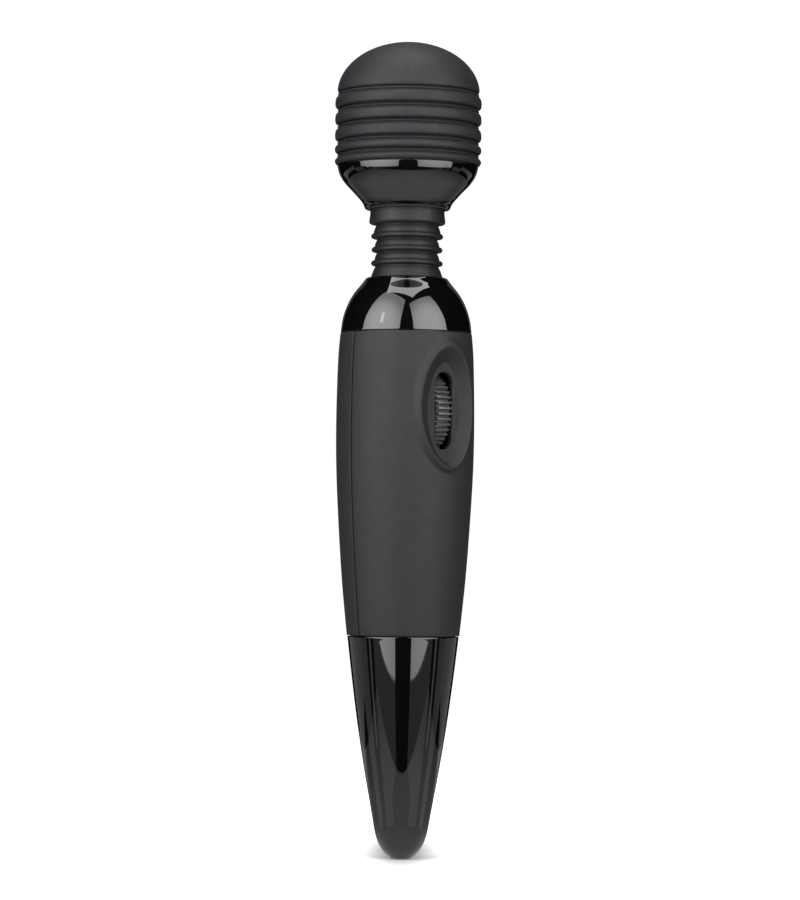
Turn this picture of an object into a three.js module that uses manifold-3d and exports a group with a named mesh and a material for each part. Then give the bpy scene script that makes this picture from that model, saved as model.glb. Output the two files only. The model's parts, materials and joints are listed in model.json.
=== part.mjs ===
// Handheld wand massager, rechargeable, with a flexible neck and a thumb wheel for its speed.
// Millimetres. +Z runs from the tail to the head and -Y is the side of the thumb wheel.
// The origin is the centre of the flat end of the tail.
import * as THREE from 'three';
import { mergeVertices } from 'three/addons/utils/BufferGeometryUtils.js';
import Module from 'manifold-3d';

const wasm = await Module();
wasm.setup();

// Heights along the axis
const LENGTH = 314;
const TAIL_TOP = 85.4;
const SHELL_TOP = 201.6;
const SHOULDER_TOP = 222.9;
const COLLAR_LIP = 249.3;
const CAP_LIP = 266.3;
const DOME_BASE = 294;

// Outlines as [height, radius]
const TAIL_OUTLINE = [
  [0, 3.9], [1.3, 5.4], [3.3, 7.2], [7, 9.15], [14.7, 10.95], [30, 13.7], [53, 17.4], [TAIL_TOP, 21.45],
];
const BODY_OUTLINE = [
  [TAIL_TOP, 21.65], [107, 23.8], [130, 25.4], [149, 26.35], [167, 26.6], [185, 26.3], [195.5, 25.85],
  [SHELL_TOP, 25.3],
];
const SHOULDER_OUTLINE = [
  [SHELL_TOP, 25.25], [206.5, 24.6], [210, 23.65], [214, 21.95], [218, 19.4], [221, 17.1],
  [SHOULDER_TOP, 15.55],
];
const COLLAR_OUTLINE = [
  [COLLAR_LIP, 16.1], [250.8, 16.75], [252.8, 18.2], [256.3, 21.35], [259.4, 24.2], [261.2, 25.5],
  [262.8, 26.35], [264.4, 26.85], [266, 27.2],
];

// Walls and clearances
const WALL = 2.2;
const GAP = 0.3;
const SEAM = 0.4;
const BEYOND = 40; // past the widest part, for cutters
const SPIGOT_DEPTH = 6.3;

// Silicone cap: a lip, four ridges and a dome
const CAP_RIDGE_R = 28.3;
const CAP_GROOVE_R = 26.6;
const CAP_GROOVES = [270.2, 275.1, 281.4, 287.6, 293.9];
const GROOVE_HALF = 0.85;
const DOME_R = 27.4;
const CAP_WALL = 1.8;

// Neck
const NECK_RIDGES = [[228.6, 13.95], [233.8, 13.8], [239.0, 14.0], [244.5, 14.75]];
const NECK_GROOVES = [[226.3, 12.8], [231.3, 12.2], [236.4, 12.15], [241.5, 12.6]];
const BELLOWS_BORE = 10.4;
const BELLOWS_END_R = 13.6;
const BELLOWS_TOP_R = 14.3;
const SPRING = { radius: 8, wire: 0.9, turns: 7, from: 216.4, to: 254.4 };
const LOWER_FLANGE = { z: 211.8, plate: 2.2, plateR: 19.5, hub: 6.1, cup: 3.4, spigot: 11.6 };
const UPPER_FLANGE = { z: 259.7, plate: 2.2, plateR: 18.9, hub: 5.8, cup: 4, spigot: 12 };
const BEAD_R = 15.2;
const NECK_SCREW_X = 17.4;

// Thumb wheel, its slot and the dish round it
const WHEEL = { radius: 16.5, width: 6.5, ridges: 48, depth: 0.9, y: -7.9, z: 171.2 };
const SLOT = { width: 8.2, height: 29.4 };
// The dish widens by its flares, and its middle rises, for each millimetre out from its floor.
const DISH = {
  y: -23.2, floorX: 8.2, floorZ: 18.6, flareX: 2.3, flareZ: 1.32, rise: 0.49,
  backX: 12.5, backZ: 25, back: -20.9,
};
const RIM = { height: 1.5, x: 14.8, z: 26.6, middle: 173.7, crest: 0.84 };
const WHEEL_SHAFT_R = 1.5;
const BRACKET = { from: -9.5, to: 12, wall: 2, room: 2.2, front: -11 };

// Batteries, board and charging jack
const CELL = { radius: 9, length: 50, x: 9.6, y: -3, z: 96 };
const BOARD = { x: 18, y: 9, thick: 1.6, from: 118, to: 195.5 };
const BOARD_SCREWS = [[-14.5, 123], [14.5, 190]];
const JACK = { radius: 3.9, mouth: 2.75, seat: 1.6, depth: 10.5, top: 20.5, shelf: 16.5, pin: 1 };
const CHARGE_PLUG = 121;
const MOTOR_PLUG = 193;
const LEAD_R = 0.8;
const NECK_LEAD_R = 0.7;
const LEAD_X = 2;

// Motor
const MOTOR = { radius: 12.2, wall: 0.8, from: 263.2, to: 293 };
const MOTOR_SHAFT_R = 1;
const CRADLE_SCREW_R = 19.3;

// Screws, by radius
const SCREW = { shank: 1, head: 2.05, headHeight: 1.5, hole: 1.35 };

const finish = (color, roughness, metalness = 0) =>
  new THREE.MeshStandardMaterial({ color, roughness, metalness });
const material = {
  silicone: finish(0x26272a, 0.75),
  softTouch: finish(0x2b2c2e, 0.7),
  gloss: finish(0x0a0a0b, 0.12),
  rubber: finish(0x222325, 0.8),
  plastic: finish(0x3a3b3e, 0.5),
  wheel: finish(0x4a4b4d, 0.45),
  steel: finish(0xb9bcc0, 0.35, 1),
  brass: finish(0xc9a557, 0.35, 1),
  copper: finish(0xb9693a, 0.35, 1),
  board: finish(0x1d5b3a, 0.5),
  cell: finish(0x3f6fa8, 0.4),
  red: finish(0xa82222, 0.5),
  black: finish(0x161616, 0.5),
};

// Closed triangle meshes become solids, so that they can be joined and cut.
function solid(geometry) {
  const bare = geometry.clone();
  bare.deleteAttribute('normal');
  bare.deleteAttribute('uv');
  const merged = mergeVertices(bare, 1e-4);
  const corners = merged.index.array;
  const position = merged.attributes.position;
  const triangles = [];
  const [a, b, c] = [new THREE.Vector3(), new THREE.Vector3(), new THREE.Vector3()];
  let volume = 0;
  for (let i = 0; i < corners.length; i += 3) {
    const [p, q, r] = [corners[i], corners[i + 1], corners[i + 2]];
    if (p === q || q === r || r === p) continue;
    triangles.push(p, q, r);
    a.fromBufferAttribute(position, p);
    b.fromBufferAttribute(position, q);
    c.fromBufferAttribute(position, r);
    volume += a.dot(b.cross(c));
  }
  if (volume < 0) triangles.reverse();
  return new wasm.Manifold(new wasm.Mesh({
    numProp: 3,
    vertProperties: Float32Array.from(position.array),
    triVerts: Uint32Array.from(triangles),
  }));
}

function mesh(name, body, look, place = [0, 0, 0]) {
  const { vertProperties, triVerts } = body.getMesh();
  const geometry = new THREE.BufferGeometry();
  geometry.setAttribute('position', new THREE.BufferAttribute(Float32Array.from(vertProperties), 3));
  geometry.setIndex(new THREE.BufferAttribute(Uint32Array.from(triVerts), 1));
  geometry.computeVertexNormals();
  const made = new THREE.Mesh(geometry, look);
  made.name = name;
  made.position.set(...place);
  return made;
}

// Shapes turned about Z from points [height, radius]. A profile off the axis closes on itself.
function turned(profile, sides) {
  const points = profile.map(([z, r]) => new THREE.Vector2(r, z));
  const first = points[0];
  if (first.x > 0 || points.at(-1).x > 0) points.push(first.clone());
  return solid(new THREE.LatheGeometry(points, sides).rotateX(Math.PI / 2));
}

// Points on a smooth line through an outline, moved in by a wall thickness
function smooth(outline, steps, inset = 0) {
  const curve = new THREE.SplineCurve(outline.map(([z, r]) => new THREE.Vector2(z, r)));
  return curve.getPoints(steps).map((p) => [p.x, p.y - inset]);
}

function rod(radius, from, to, sides = 16, hole = 0) {
  const inner = hole ? [[to, hole], [from, hole]] : [[to, 0], [from, 0]];
  return turned(hole ? [[from, radius], [to, radius], ...inner]
    : [[from, 0], [from, radius], [to, radius], [to, 0]], sides);
}

function rodAlong(axis, radius, from, to, [u, v] = [0, 0], sides = 16) {
  const geometry = new THREE.CylinderGeometry(radius, radius, to - from, sides);
  if (axis === 'x') geometry.rotateZ(Math.PI / 2).translate((from + to) / 2, u, v);
  if (axis === 'y') geometry.translate(u, (from + to) / 2, v);
  if (axis === 'z') geometry.rotateX(Math.PI / 2).translate(u, v, (from + to) / 2);
  return solid(geometry);
}

function block([x0, x1], [y0, y1], [z0, z1]) {
  const box = new THREE.BoxGeometry(x1 - x0, y1 - y0, z1 - z0);
  return solid(box.translate((x0 + x1) / 2, (y0 + y1) / 2, (z0 + z1) / 2));
}

function extruded(shape, depth, curveSegments = 12) {
  return new THREE.ExtrudeGeometry(shape, { depth, bevelEnabled: false, curveSegments });
}

function circle(radius, x = 0, y = 0) {
  const path = new THREE.Path();
  path.absarc(x, y, radius, 0, 2 * Math.PI);
  return path;
}

// A wire through points, with a round section
function wire(points, radius, sides, steps) {
  const route = points.map((p) => new THREE.Vector3(...p));
  const section = new THREE.Shape();
  for (let i = 0; i < sides; i += 1) {
    const angle = (2 * Math.PI * i) / sides;
    const corner = [radius * Math.cos(angle), radius * Math.sin(angle)];
    if (i) section.lineTo(...corner);
    else section.moveTo(...corner);
  }
  const extrudePath = new THREE.CatmullRomCurve3(route);
  return solid(new THREE.ExtrudeGeometry(section, { steps, extrudePath, bevelEnabled: false }));
}

// A pan-head screw that points along +Z from its head
function screw(length) {
  const { shank, head, headHeight } = SCREW;
  const tip = headHeight + length;
  return turned([
    [0, 0], [0, head - 0.5], [0.5, head], [headHeight, head], [headHeight, shank], [tip, shank], [tip, 0],
  ], 10);
}

// A rod that cuts a screw hole
function screwHole(axis, from, to, place) {
  return rodAlong(axis, SCREW.hole, from, to, place, 10);
}

// ---- Handle ----

function tailCap() {
  const spigot = BODY_OUTLINE[0][1] - WALL - GAP;
  const wall = smooth(TAIL_OUTLINE, 14);
  wall.at(-1)[0] -= GAP;
  const inside = smooth(TAIL_OUTLINE.slice(4), 4, WALL).reverse();
  inside[0] = [TAIL_TOP - 3, spigot - 2];
  inside.at(-1)[0] = JACK.shelf;
  return turned([
    [0, JACK.mouth + 0.15], ...wall,
    [TAIL_TOP - GAP, spigot], [TAIL_TOP + SPIGOT_DEPTH, spigot], [TAIL_TOP + SPIGOT_DEPTH, spigot - 2],
    ...inside,
    [JACK.shelf, JACK.radius + GAP], [JACK.seat, JACK.radius + GAP], [JACK.seat, JACK.mouth + 0.15],
  ], 28);
}

// The body's wall, all the way round
function bodyRing(rows, sides) {
  const outer = smooth(BODY_OUTLINE, rows);
  const inner = smooth(BODY_OUTLINE, 5, WALL).reverse();
  outer.at(-1)[0] -= GAP / 2;
  inner[0][0] -= GAP / 2;
  const points = [...outer, ...inner, outer[0]].map(([z, r]) => new THREE.Vector2(r, z));
  return new THREE.LatheGeometry(points, sides).rotateX(Math.PI / 2);
}

// Raises the front of the body's wall round the dish
function raiseRim(geometry) {
  const position = geometry.attributes.position;
  for (let i = 0; i < position.count; i += 1) {
    const [x, y, z] = [position.getX(i), position.getY(i), position.getZ(i)];
    const radius = Math.hypot(x, y);
    const oval = Math.hypot(x / RIM.x, (z - RIM.middle) / RIM.z);
    const outside = y < 0 && radius > BODY_OUTLINE.at(-1)[1] - WALL / 2 && oval < 1;
    const fade = THREE.MathUtils.smoothstep(1 - oval, 0, 1 - RIM.crest);
    const grow = outside ? 1 + (RIM.height * fade) / radius : 1;
    position.setXY(i, x * grow, y * grow);
  }
  return geometry;
}

// Everything inside the middle of the body's wall, to trim bosses that grow from it
function bodyCore() {
  return turned([[TAIL_TOP, 0], ...smooth(BODY_OUTLINE, 10, WALL / 2), [SHELL_TOP, 0]], 36);
}

function ovalShape(x, z) {
  const shape = new THREE.Shape();
  shape.absellipse(0, 0, x, z, 0, 2 * Math.PI);
  return shape;
}

function dishCutter() {
  const deep = 8;
  const geometry = new THREE.CylinderGeometry(1, 1, deep, 36);
  const position = geometry.attributes.position;
  for (let i = 0; i < position.count; i += 1) {
    const height = position.getY(i) > 0 ? 0 : deep;
    position.setX(i, position.getX(i) * (DISH.floorX + DISH.flareX * height));
    position.setZ(i, position.getZ(i) * (DISH.floorZ + DISH.flareZ * height) + DISH.rise * height);
  }
  return solid(geometry.translate(0, DISH.y - deep / 2, WHEEL.z));
}

function slotCutter() {
  const straight = (SLOT.height - SLOT.width) / 2;
  const shape = new THREE.Shape();
  shape.absarc(0, straight, SLOT.width / 2, 0, Math.PI);
  shape.absarc(0, -straight, SLOT.width / 2, Math.PI, 2 * Math.PI);
  return solid(extruded(shape, 20, 8).rotateX(Math.PI / 2).translate(0, -15, WHEEL.z));
}

function frontShell() {
  const backing = solid(
    extruded(ovalShape(DISH.backX, DISH.backZ), 8, 10).rotateX(Math.PI / 2)
      .translate(0, DISH.back, WHEEL.z),
  );
  return solid(raiseRim(bodyRing(30, 64)))
    .intersect(block([-BEYOND, BEYOND], [-BEYOND, -SEAM / 2], [0, LENGTH]))
    .add(backing.intersect(bodyCore()))
    .subtract(dishCutter())
    .subtract(slotCutter());
}

function rearShell() {
  let shell = solid(bodyRing(7, 36))
    .intersect(block([-BEYOND, BEYOND], [SEAM / 2, BEYOND], [0, LENGTH]));
  const face = BOARD.y + BOARD.thick + GAP;
  for (const [x, z] of BOARD_SCREWS) {
    const boss = rodAlong('y', 2.8, face, BEYOND, [x, z], 12).intersect(bodyCore());
    shell = shell.add(boss).subtract(screwHole('y', face - 1, face + 6, [x, z]));
  }
  return shell;
}

function shoulderRing() {
  const spigot = BODY_OUTLINE.at(-1)[1] - WALL - 0.4;
  const bore = 20.3;
  const foot = SHELL_TOP - 5.1;
  const ledge = 214.3;
  const outline = smooth(SHOULDER_OUTLINE, 7);
  outline[0][0] += GAP / 2;
  let ring = turned([
    [foot, bore], [foot, spigot], [SHELL_TOP + GAP / 2, spigot],
    ...outline,
    [SHOULDER_TOP, BELLOWS_END_R + GAP], [220.3, BELLOWS_END_R + GAP], [220.3, 15.5], [ledge, 15.5],
    [ledge, bore],
  ], 28);
  for (const x of [-NECK_SCREW_X, NECK_SCREW_X]) {
    ring = ring.subtract(screwHole('z', ledge - 1, 218, [x, 0]));
  }
  return ring;
}

// ---- Thumb wheel ----

function thumbWheel() {
  const outline = new THREE.Shape();
  const steps = [[0, 0], [0.5, 1]];
  for (let i = 0; i < WHEEL.ridges; i += 1) {
    for (const [turn, low] of steps) {
      const angle = (2 * Math.PI * (i + turn)) / WHEEL.ridges;
      const radius = WHEEL.radius - low * WHEEL.depth;
      const corner = [radius * Math.cos(angle), radius * Math.sin(angle)];
      if (i || turn > steps[0][0]) outline.lineTo(...corner);
      else outline.moveTo(...corner);
    }
  }
  outline.holes.push(circle(13));
  const tyre = solid(extruded(outline, WHEEL.width, 10).translate(0, 0, -WHEEL.width / 2));
  const half = WHEEL.width / 2;
  const bore = WHEEL_SHAFT_R + GAP;
  const web = turned([[-half, bore], [-half, 4], [-1.2, 4.4], [-1.2, 14], [1.2, 14], [1.2, 4.4],
    [half, 4], [half, bore]], 20);
  return tyre.add(web);
}

function wheelBracket() {
  const { from, to, wall, room, front } = BRACKET;
  const tall = WHEEL.radius + room;
  return block([from, to], [front, BOARD.y - GAP], [-tall - wall, tall + wall])
    .subtract(block([from + wall, to - wall], [front - 1, BOARD.y], [-tall, tall]))
    .subtract(rodAlong('x', WHEEL_SHAFT_R + GAP, from - 1, to + 1, [WHEEL.y, 0], 12));
}

// ---- Power and control ----

function circuitBoard() {
  let board = block([-BOARD.x, BOARD.x], [BOARD.y, BOARD.y + BOARD.thick], [BOARD.from, BOARD.to]);
  for (const place of BOARD_SCREWS) {
    board = board.subtract(screwHole('y', BOARD.y - 1, BOARD.y + BOARD.thick + 1, place));
  }
  return board;
}

function batteryCell() {
  const { radius, length } = CELL;
  const neck = radius - 0.6;
  const button = 2.7;
  return turned([[0, 0], [0, radius - 0.5], [0.5, radius], [length - 3, radius], [length - 2.2, neck],
    [length - 1, neck], [length - 1, button], [length, button], [length, 0]], 16);
}

function batteryHolder() {
  const outer = CELL.radius + 1.6;
  const shape = new THREE.Shape();
  shape.absarc(CELL.x, 0, outer, -Math.PI / 2, Math.PI / 2);
  shape.absarc(-CELL.x, 0, outer, Math.PI / 2, 1.5 * Math.PI);
  shape.holes.push(circle(CELL.radius + GAP, CELL.x), circle(CELL.radius + GAP, -CELL.x));
  return solid(extruded(shape, 36, 7).translate(0, CELL.y, CELL.z + 8));
}

function chargingJack() {
  const { radius, mouth, depth, top, pin } = JACK;
  const seat = JACK.seat + GAP;
  const bore = pin + GAP;
  return turned([
    [seat, mouth], [seat, radius], [top, radius], [top, bore], [depth, bore], [depth, mouth],
  ], 16);
}

function connector(from, to) {
  const back = BOARD.y + BOARD.thick + GAP;
  return block([-4, 4], [back, back + 5], [from, to]);
}

function addHandle(group) {
  group.add(
    mesh('tail_cap', tailCap(), material.gloss),
    mesh('front_shell', frontShell(), material.softTouch),
    mesh('rear_shell', rearShell(), material.softTouch),
    mesh('shoulder_ring', shoulderRing(), material.gloss),
  );
}

function addWheel(group) {
  const place = [0, WHEEL.y, WHEEL.z];
  const wheel = mesh('speed_wheel', thumbWheel(), material.wheel, place);
  wheel.rotation.y = Math.PI / 2;
  group.add(
    wheel,
    mesh('wheel_shaft', rodAlong('x', WHEEL_SHAFT_R, -9.2, 11.4), material.steel, place),
    mesh('wheel_bracket', wheelBracket(), material.plastic, [0, 0, WHEEL.z]),
    mesh(
      'potentiometer',
      rodAlong('x', 6.5, 4.2, 9.7, [0, 0], 20).subtract(rodAlong('x', WHEEL_SHAFT_R + GAP, 4, 10)),
      material.plastic,
      place,
    ),
  );
}

function addElectrics(group) {
  const back = BOARD.y + BOARD.thick + GAP;
  group.add(mesh('circuit_board', circuitBoard(), material.board));
  BOARD_SCREWS.forEach(([x, z], i) => {
    const head = BOARD.y - SCREW.headHeight - GAP;
    const fixing = mesh(`board_screw_${i + 1}`, screw(6.5), material.steel, [x, head, z]);
    fixing.rotation.x = -Math.PI / 2;
    group.add(fixing);
  });
  group.add(
    mesh('capacitor', rodAlong('y', 4, back, back + 8.5, [-8, 150]), material.black),
    mesh('power_transistor', block([3, 13], [back, back + 4.5], [160, 175]), material.black),
    mesh('inductor', rodAlong('y', 5, back, back + 6, [8, 142]), material.copper),
    mesh('charge_controller', block([-8.5, -3.5], [back, back + 1.6], [175, 181]), material.black),
    mesh('charge_connector', connector(CHARGE_PLUG, CHARGE_PLUG + 6), material.plastic),
    mesh('motor_connector', connector(MOTOR_PLUG - 6, MOTOR_PLUG), material.plastic),
    mesh('battery_holder', batteryHolder(), material.plastic),
    mesh(
      'cell_link',
      block([-12, 12], [CELL.y - 3, CELL.y + 3], [CELL.z - 2 * GAP, CELL.z - GAP]),
      material.steel,
    ),
  );
  [['red', -1, material.red], ['black', 1, material.black]].forEach(([colour, side, look], i) => {
    const top = CELL.z + CELL.length + GAP;
    const x = side * CELL.x;
    const lead = side * LEAD_X;
    const plug = back + 2.5;
    group.add(
      mesh(`battery_cell_${i + 1}`, batteryCell(), material.cell, [x, CELL.y, CELL.z]),
      mesh(`battery_lead_${colour}`, wire(
        [[x, CELL.y, top], [x, CELL.y + 1, top + 2], [x, 4, top + 3], [x, BOARD.y - GAP, top + 3]],
        LEAD_R, 5, 7,
      ), look),
      mesh(`jack_lead_${colour}`, wire(
        [[lead, 0, 23], [lead, 0, 60], [lead, 4, 78], [lead, 11, 96], [lead, plug, 108],
          [lead, plug, CHARGE_PLUG - GAP]], LEAD_R, 5, 12,
      ), look),
      mesh(`motor_feed_${colour}`, wire(
        [[lead, plug, MOTOR_PLUG + GAP], [lead, plug - 1, 200], [lead, 3, 208], [lead, 0, 213.1]],
        LEAD_R, 5, 7,
      ), look),
    );
  });
}

function addJack(group) {
  const nutHeight = 2.5;
  const nut = solid(new THREE.CylinderGeometry(6, 6, nutHeight, 6).rotateX(Math.PI / 2))
    .subtract(rod(JACK.radius + GAP, -nutHeight, nutHeight));
  group.add(
    mesh('charging_jack', chargingJack(), material.plastic),
    mesh('jack_nut', nut, material.steel, [0, 0, JACK.shelf + GAP + nutHeight / 2]),
    mesh('jack_pin', rod(JACK.pin, JACK.seat + 1.6, JACK.top + 2, 10), material.brass),
  );
}

// ---- Neck ----

function bellows() {
  const [foot, head, bead] = [218.2, 253.6, 1.75];
  const waves = [];
  NECK_GROOVES.forEach(([grooveZ, grooveR], i) => {
    const [ridgeZ, ridgeR] = NECK_RIDGES[i];
    const half = i === 3 ? 1.4 : 0.8;
    waves.push([grooveZ - 0.6, grooveR + 0.15], [grooveZ + 0.6, grooveR + 0.15]);
    waves.push([ridgeZ - half, ridgeR - 0.2], [ridgeZ, ridgeR], [ridgeZ + half, ridgeR - 0.2]);
  });
  return turned([
    [foot, BELLOWS_BORE], [foot, BEAD_R], [foot + bead, BEAD_R], [foot + bead, BELLOWS_END_R],
    [SHOULDER_TOP + 1, BELLOWS_END_R], ...waves, [247.2, BELLOWS_TOP_R],
    [head - bead, BELLOWS_TOP_R], [head - bead, BEAD_R + 0.4], [head, BEAD_R + 0.4], [head, BELLOWS_BORE],
  ], 18);
}

function neckSpring() {
  const { radius, wire: thick, turns, from, to } = SPRING;
  const points = [];
  const perTurn = 8;
  for (let i = 0; i <= turns * perTurn; i += 1) {
    const angle = (2 * Math.PI * i) / perTurn;
    const z = from + ((to - from) * i) / (turns * perTurn);
    points.push([radius * Math.cos(angle), radius * Math.sin(angle), z]);
  }
  return wire(points, thick, 6, turns * perTurn);
}

// Seat for one end of the neck. Heights run from its plate towards the bellows.
function flange({ plate, plateR, hub, cup, spigot }) {
  const [bore, cupR, spigotR] = [6, SPRING.radius + 1.3, BELLOWS_BORE - GAP];
  const seat = turned([
    [0, bore], [cup, bore], [cup, cupR], [spigot, cupR], [spigot, spigotR],
    [hub, spigotR], [hub, BEAD_R], [plate, BEAD_R], [plate, plateR], [0, plateR],
  ], 20);
  return seat.subtract(screwHole('z', -1, plate + 1, [-NECK_SCREW_X, 0]))
    .subtract(screwHole('z', -1, plate + 1, [NECK_SCREW_X, 0]));
}

function addNeck(group) {
  const [below, above] = [LOWER_FLANGE.z, UPPER_FLANGE.z];
  const upper = mesh('neck_upper_flange', flange(UPPER_FLANGE), material.plastic, [0, 0, above]);
  upper.rotation.x = Math.PI;
  group.add(
    mesh('neck_bellows', bellows(), material.rubber),
    mesh('neck_spring', neckSpring(), material.steel),
    mesh('neck_lower_flange', flange(LOWER_FLANGE), material.plastic, [0, 0, below]),
    upper,
    mesh('lead_coupler', block([-4.2, 4.2], [-2.6, 2.6], [213.8, 220.8]), material.plastic),
  );
  const headGap = SCREW.headHeight + GAP;
  [-NECK_SCREW_X, NECK_SCREW_X].forEach((x, i) => {
    const lower = mesh(`neck_lower_screw_${i + 1}`, screw(5.5), material.steel, [x, 0, below - headGap]);
    const top = mesh(`neck_upper_screw_${i + 1}`, screw(4.4), material.steel, [x, 0, above + headGap]);
    top.rotation.x = Math.PI;
    group.add(lower, top);
  });
  [['red', -1, material.red], ['black', 1, material.black]].forEach(([colour, side, look]) => {
    group.add(mesh(`neck_lead_${colour}`, wire(
      [[side * LEAD_X, 0, 221.1], [side * 2.6, 1, 230], [side * 2.6, -1, 243], [side * 3, 0, 253],
        [side * 5, 0, 262.4]], NECK_LEAD_R, 5, 10,
    ), look));
  });
}

// ---- Head ----

// Quarter of an ellipse from the wall to the axis, as [height, radius]
function domeOutline(radius, height, steps) {
  const points = [];
  for (let i = 0; i <= steps; i += 1) {
    const angle = (i / steps) * (Math.PI / 2);
    points.push([DOME_BASE + height * Math.sin(angle), i === steps ? 0 : radius * Math.cos(angle)]);
  }
  return points;
}

function siliconeCap() {
  const domeHeight = LENGTH - DOME_BASE;
  const inner = CAP_GROOVE_R - 1.2;
  const side = [[CAP_LIP, CAP_RIDGE_R - 0.7], [CAP_LIP + 1, CAP_RIDGE_R]];
  for (const z of CAP_GROOVES) {
    side.push([z - GROOVE_HALF, CAP_RIDGE_R - 0.2], [z, CAP_GROOVE_R]);
    if (z < CAP_GROOVES.at(-1)) side.push([z + GROOVE_HALF, CAP_RIDGE_R - 0.2]);
  }
  const outside = domeOutline(DOME_R, domeHeight, 8).slice(1);
  const inside = domeOutline(inner, domeHeight - CAP_WALL, 5).reverse();
  return turned([...side, [CAP_GROOVES.at(-1) + 0.9, DOME_R - 0.05], ...outside, ...inside,
    [CAP_LIP, inner], [CAP_LIP, CAP_RIDGE_R - 0.7]], 28);
}

function headDome() {
  const outer = CAP_GROOVE_R - 1.2 - GAP;
  const height = LENGTH - DOME_BASE - CAP_WALL - GAP;
  return turned([[CAP_LIP, outer], ...domeOutline(outer, height, 5),
    ...domeOutline(outer - 2, height - 2, 5).reverse(), [CAP_LIP, outer - 2], [CAP_LIP, outer]], 24);
}

function headCollar() {
  const lipBore = BELLOWS_TOP_R + GAP;
  const neckTop = 272;
  let collar = turned([
    ...smooth(COLLAR_OUTLINE, 9),
    [266, 22.8], [neckTop, 22.8], [neckTop, 20.8], [259.6, 20.8], [257.2, 19.4],
    [257.2, 15.9], [251.6, 15.9], [251.6, lipBore], [COLLAR_LIP, lipBore],
  ], 28);
  for (const side of [-1, 1]) {
    const post = [0, side * CRADLE_SCREW_R];
    collar = collar.add(rodAlong('z', 2.5, 265.9, neckTop, post, 12))
      .subtract(screwHole('z', 267, neckTop + 1, post))
      .subtract(screwHole('z', 254.8, 258, [side * NECK_SCREW_X, 0]));
  }
  return collar;
}

function motorCradle() {
  const plate = 272.3;
  let cradle = turned([[266.2, 12.6], [266.2, 16.3], [plate, 16.3], [plate, 22.4], [plate + 2.2, 22.4],
    [plate + 2.2, 16.3], [290, 16.3], [290, 14.35], [267.7, 14.35], [267.7, 12.6]], 20);
  for (const side of [-1, 1]) {
    cradle = cradle.subtract(screwHole('z', plate - 1, plate + 3, [0, side * CRADLE_SCREW_R]));
  }
  return cradle;
}

function motorCan() {
  const bore = MOTOR.radius - MOTOR.wall;
  return turned([[MOTOR.from, bore], [MOTOR.from, MOTOR.radius], [MOTOR.to, MOTOR.radius], [MOTOR.to, 4.2],
    [MOTOR.to + 1.6, 4.2], [MOTOR.to + 1.6, 3], [MOTOR.to - 1.2, 3], [MOTOR.to - 1.2, bore]], 20);
}

function magnet() {
  const shape = new THREE.Shape();
  const spread = THREE.MathUtils.degToRad(65);
  shape.absarc(0, 0, 11.1, -spread, spread);
  shape.absarc(0, 0, 9, spread, -spread, true);
  return solid(extruded(shape, 19.5, 6));
}

function armature() {
  const shape = new THREE.Shape();
  for (let pole = 0; pole < 3; pole += 1) {
    const middle = (pole * 2 * Math.PI) / 3;
    shape.absarc(0, 0, 8.6, middle - 0.92, middle + 0.92);
    shape.lineTo(5 * Math.cos(middle + 0.85), 5 * Math.sin(middle + 0.85));
    shape.lineTo(5 * Math.cos(middle + 1.24), 5 * Math.sin(middle + 1.24));
  }
  shape.holes.push(circle(MOTOR_SHAFT_R + GAP));
  return solid(extruded(shape, 16, 5));
}

function eccentricWeight() {
  const shape = new THREE.Shape();
  shape.absarc(0, 0, 11, -1.35, 1.35);
  shape.absarc(0, 0, 3.8, 1.9, 2 * Math.PI - 1.9);
  shape.holes.push(circle(MOTOR_SHAFT_R + GAP));
  return solid(extruded(shape, 8.5, 7)).subtract(rodAlong('x', 1.3, -5, 0, [0, 4.2], 10));
}

function addHead(group) {
  const sleeve = rod(14.05, 268, 289.7, 20, MOTOR.radius + GAP);
  const endCap = rod(MOTOR.radius - MOTOR.wall - GAP, MOTOR.from - 0.4, MOTOR.from + 3.4, 20,
    MOTOR_SHAFT_R + GAP);
  group.add(
    mesh('head_collar', headCollar(), material.gloss),
    mesh('head_dome', headDome(), material.plastic),
    mesh('silicone_cap', siliconeCap(), material.silicone),
    mesh('motor_cradle', motorCradle(), material.plastic),
    mesh('motor_isolator', sleeve, material.rubber),
    mesh('motor_can', motorCan(), material.steel),
    mesh('motor_end_cap', endCap, material.plastic),
    mesh('shaft_bush', rod(2.7, MOTOR.to - 1, MOTOR.to + 1.9, 14, MOTOR_SHAFT_R + GAP), material.brass),
  );
  [0, 1].forEach((i) => {
    const pole = mesh(`motor_magnet_${i + 1}`, magnet(), material.black, [0, 0, 268.5]);
    pole.rotation.z = i * Math.PI;
    const fixing = mesh(`cradle_screw_${i + 1}`, screw(6.7), material.steel,
      [0, (2 * i - 1) * CRADLE_SCREW_R, 276.3]);
    fixing.rotation.x = Math.PI;
    group.add(pole, fixing);
  });
}

function addRotor(group) {
  group.add(
    mesh('motor_shaft', rod(MOTOR_SHAFT_R, 264.5, 306.5, 12), material.steel),
    mesh('commutator', rod(3, 267, 269.7, 12, MOTOR_SHAFT_R + GAP), material.copper),
    mesh('armature', armature(), material.copper, [0, 0, 270]),
    mesh('eccentric_weight', eccentricWeight(), material.brass, [0, 0, 297]),
    mesh('weight_set_screw', rodAlong('x', 1, -3.7, -1.5, [0, 4.2], 10), material.steel, [0, 0, 297]),
  );
}

const wand = new THREE.Group();
for (const add of [addHandle, addWheel, addElectrics, addJack, addNeck, addHead, addRotor]) {
  const section = new THREE.Group();
  add(section);
  wand.add(section);
}

export default wand;
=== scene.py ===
# Handheld wand massager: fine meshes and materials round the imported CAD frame.
# Outlines are in millimetres and become metres as each mesh is made.
import json
import math

import bpy
import numpy as np
from mathutils import Matrix, Vector


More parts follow.
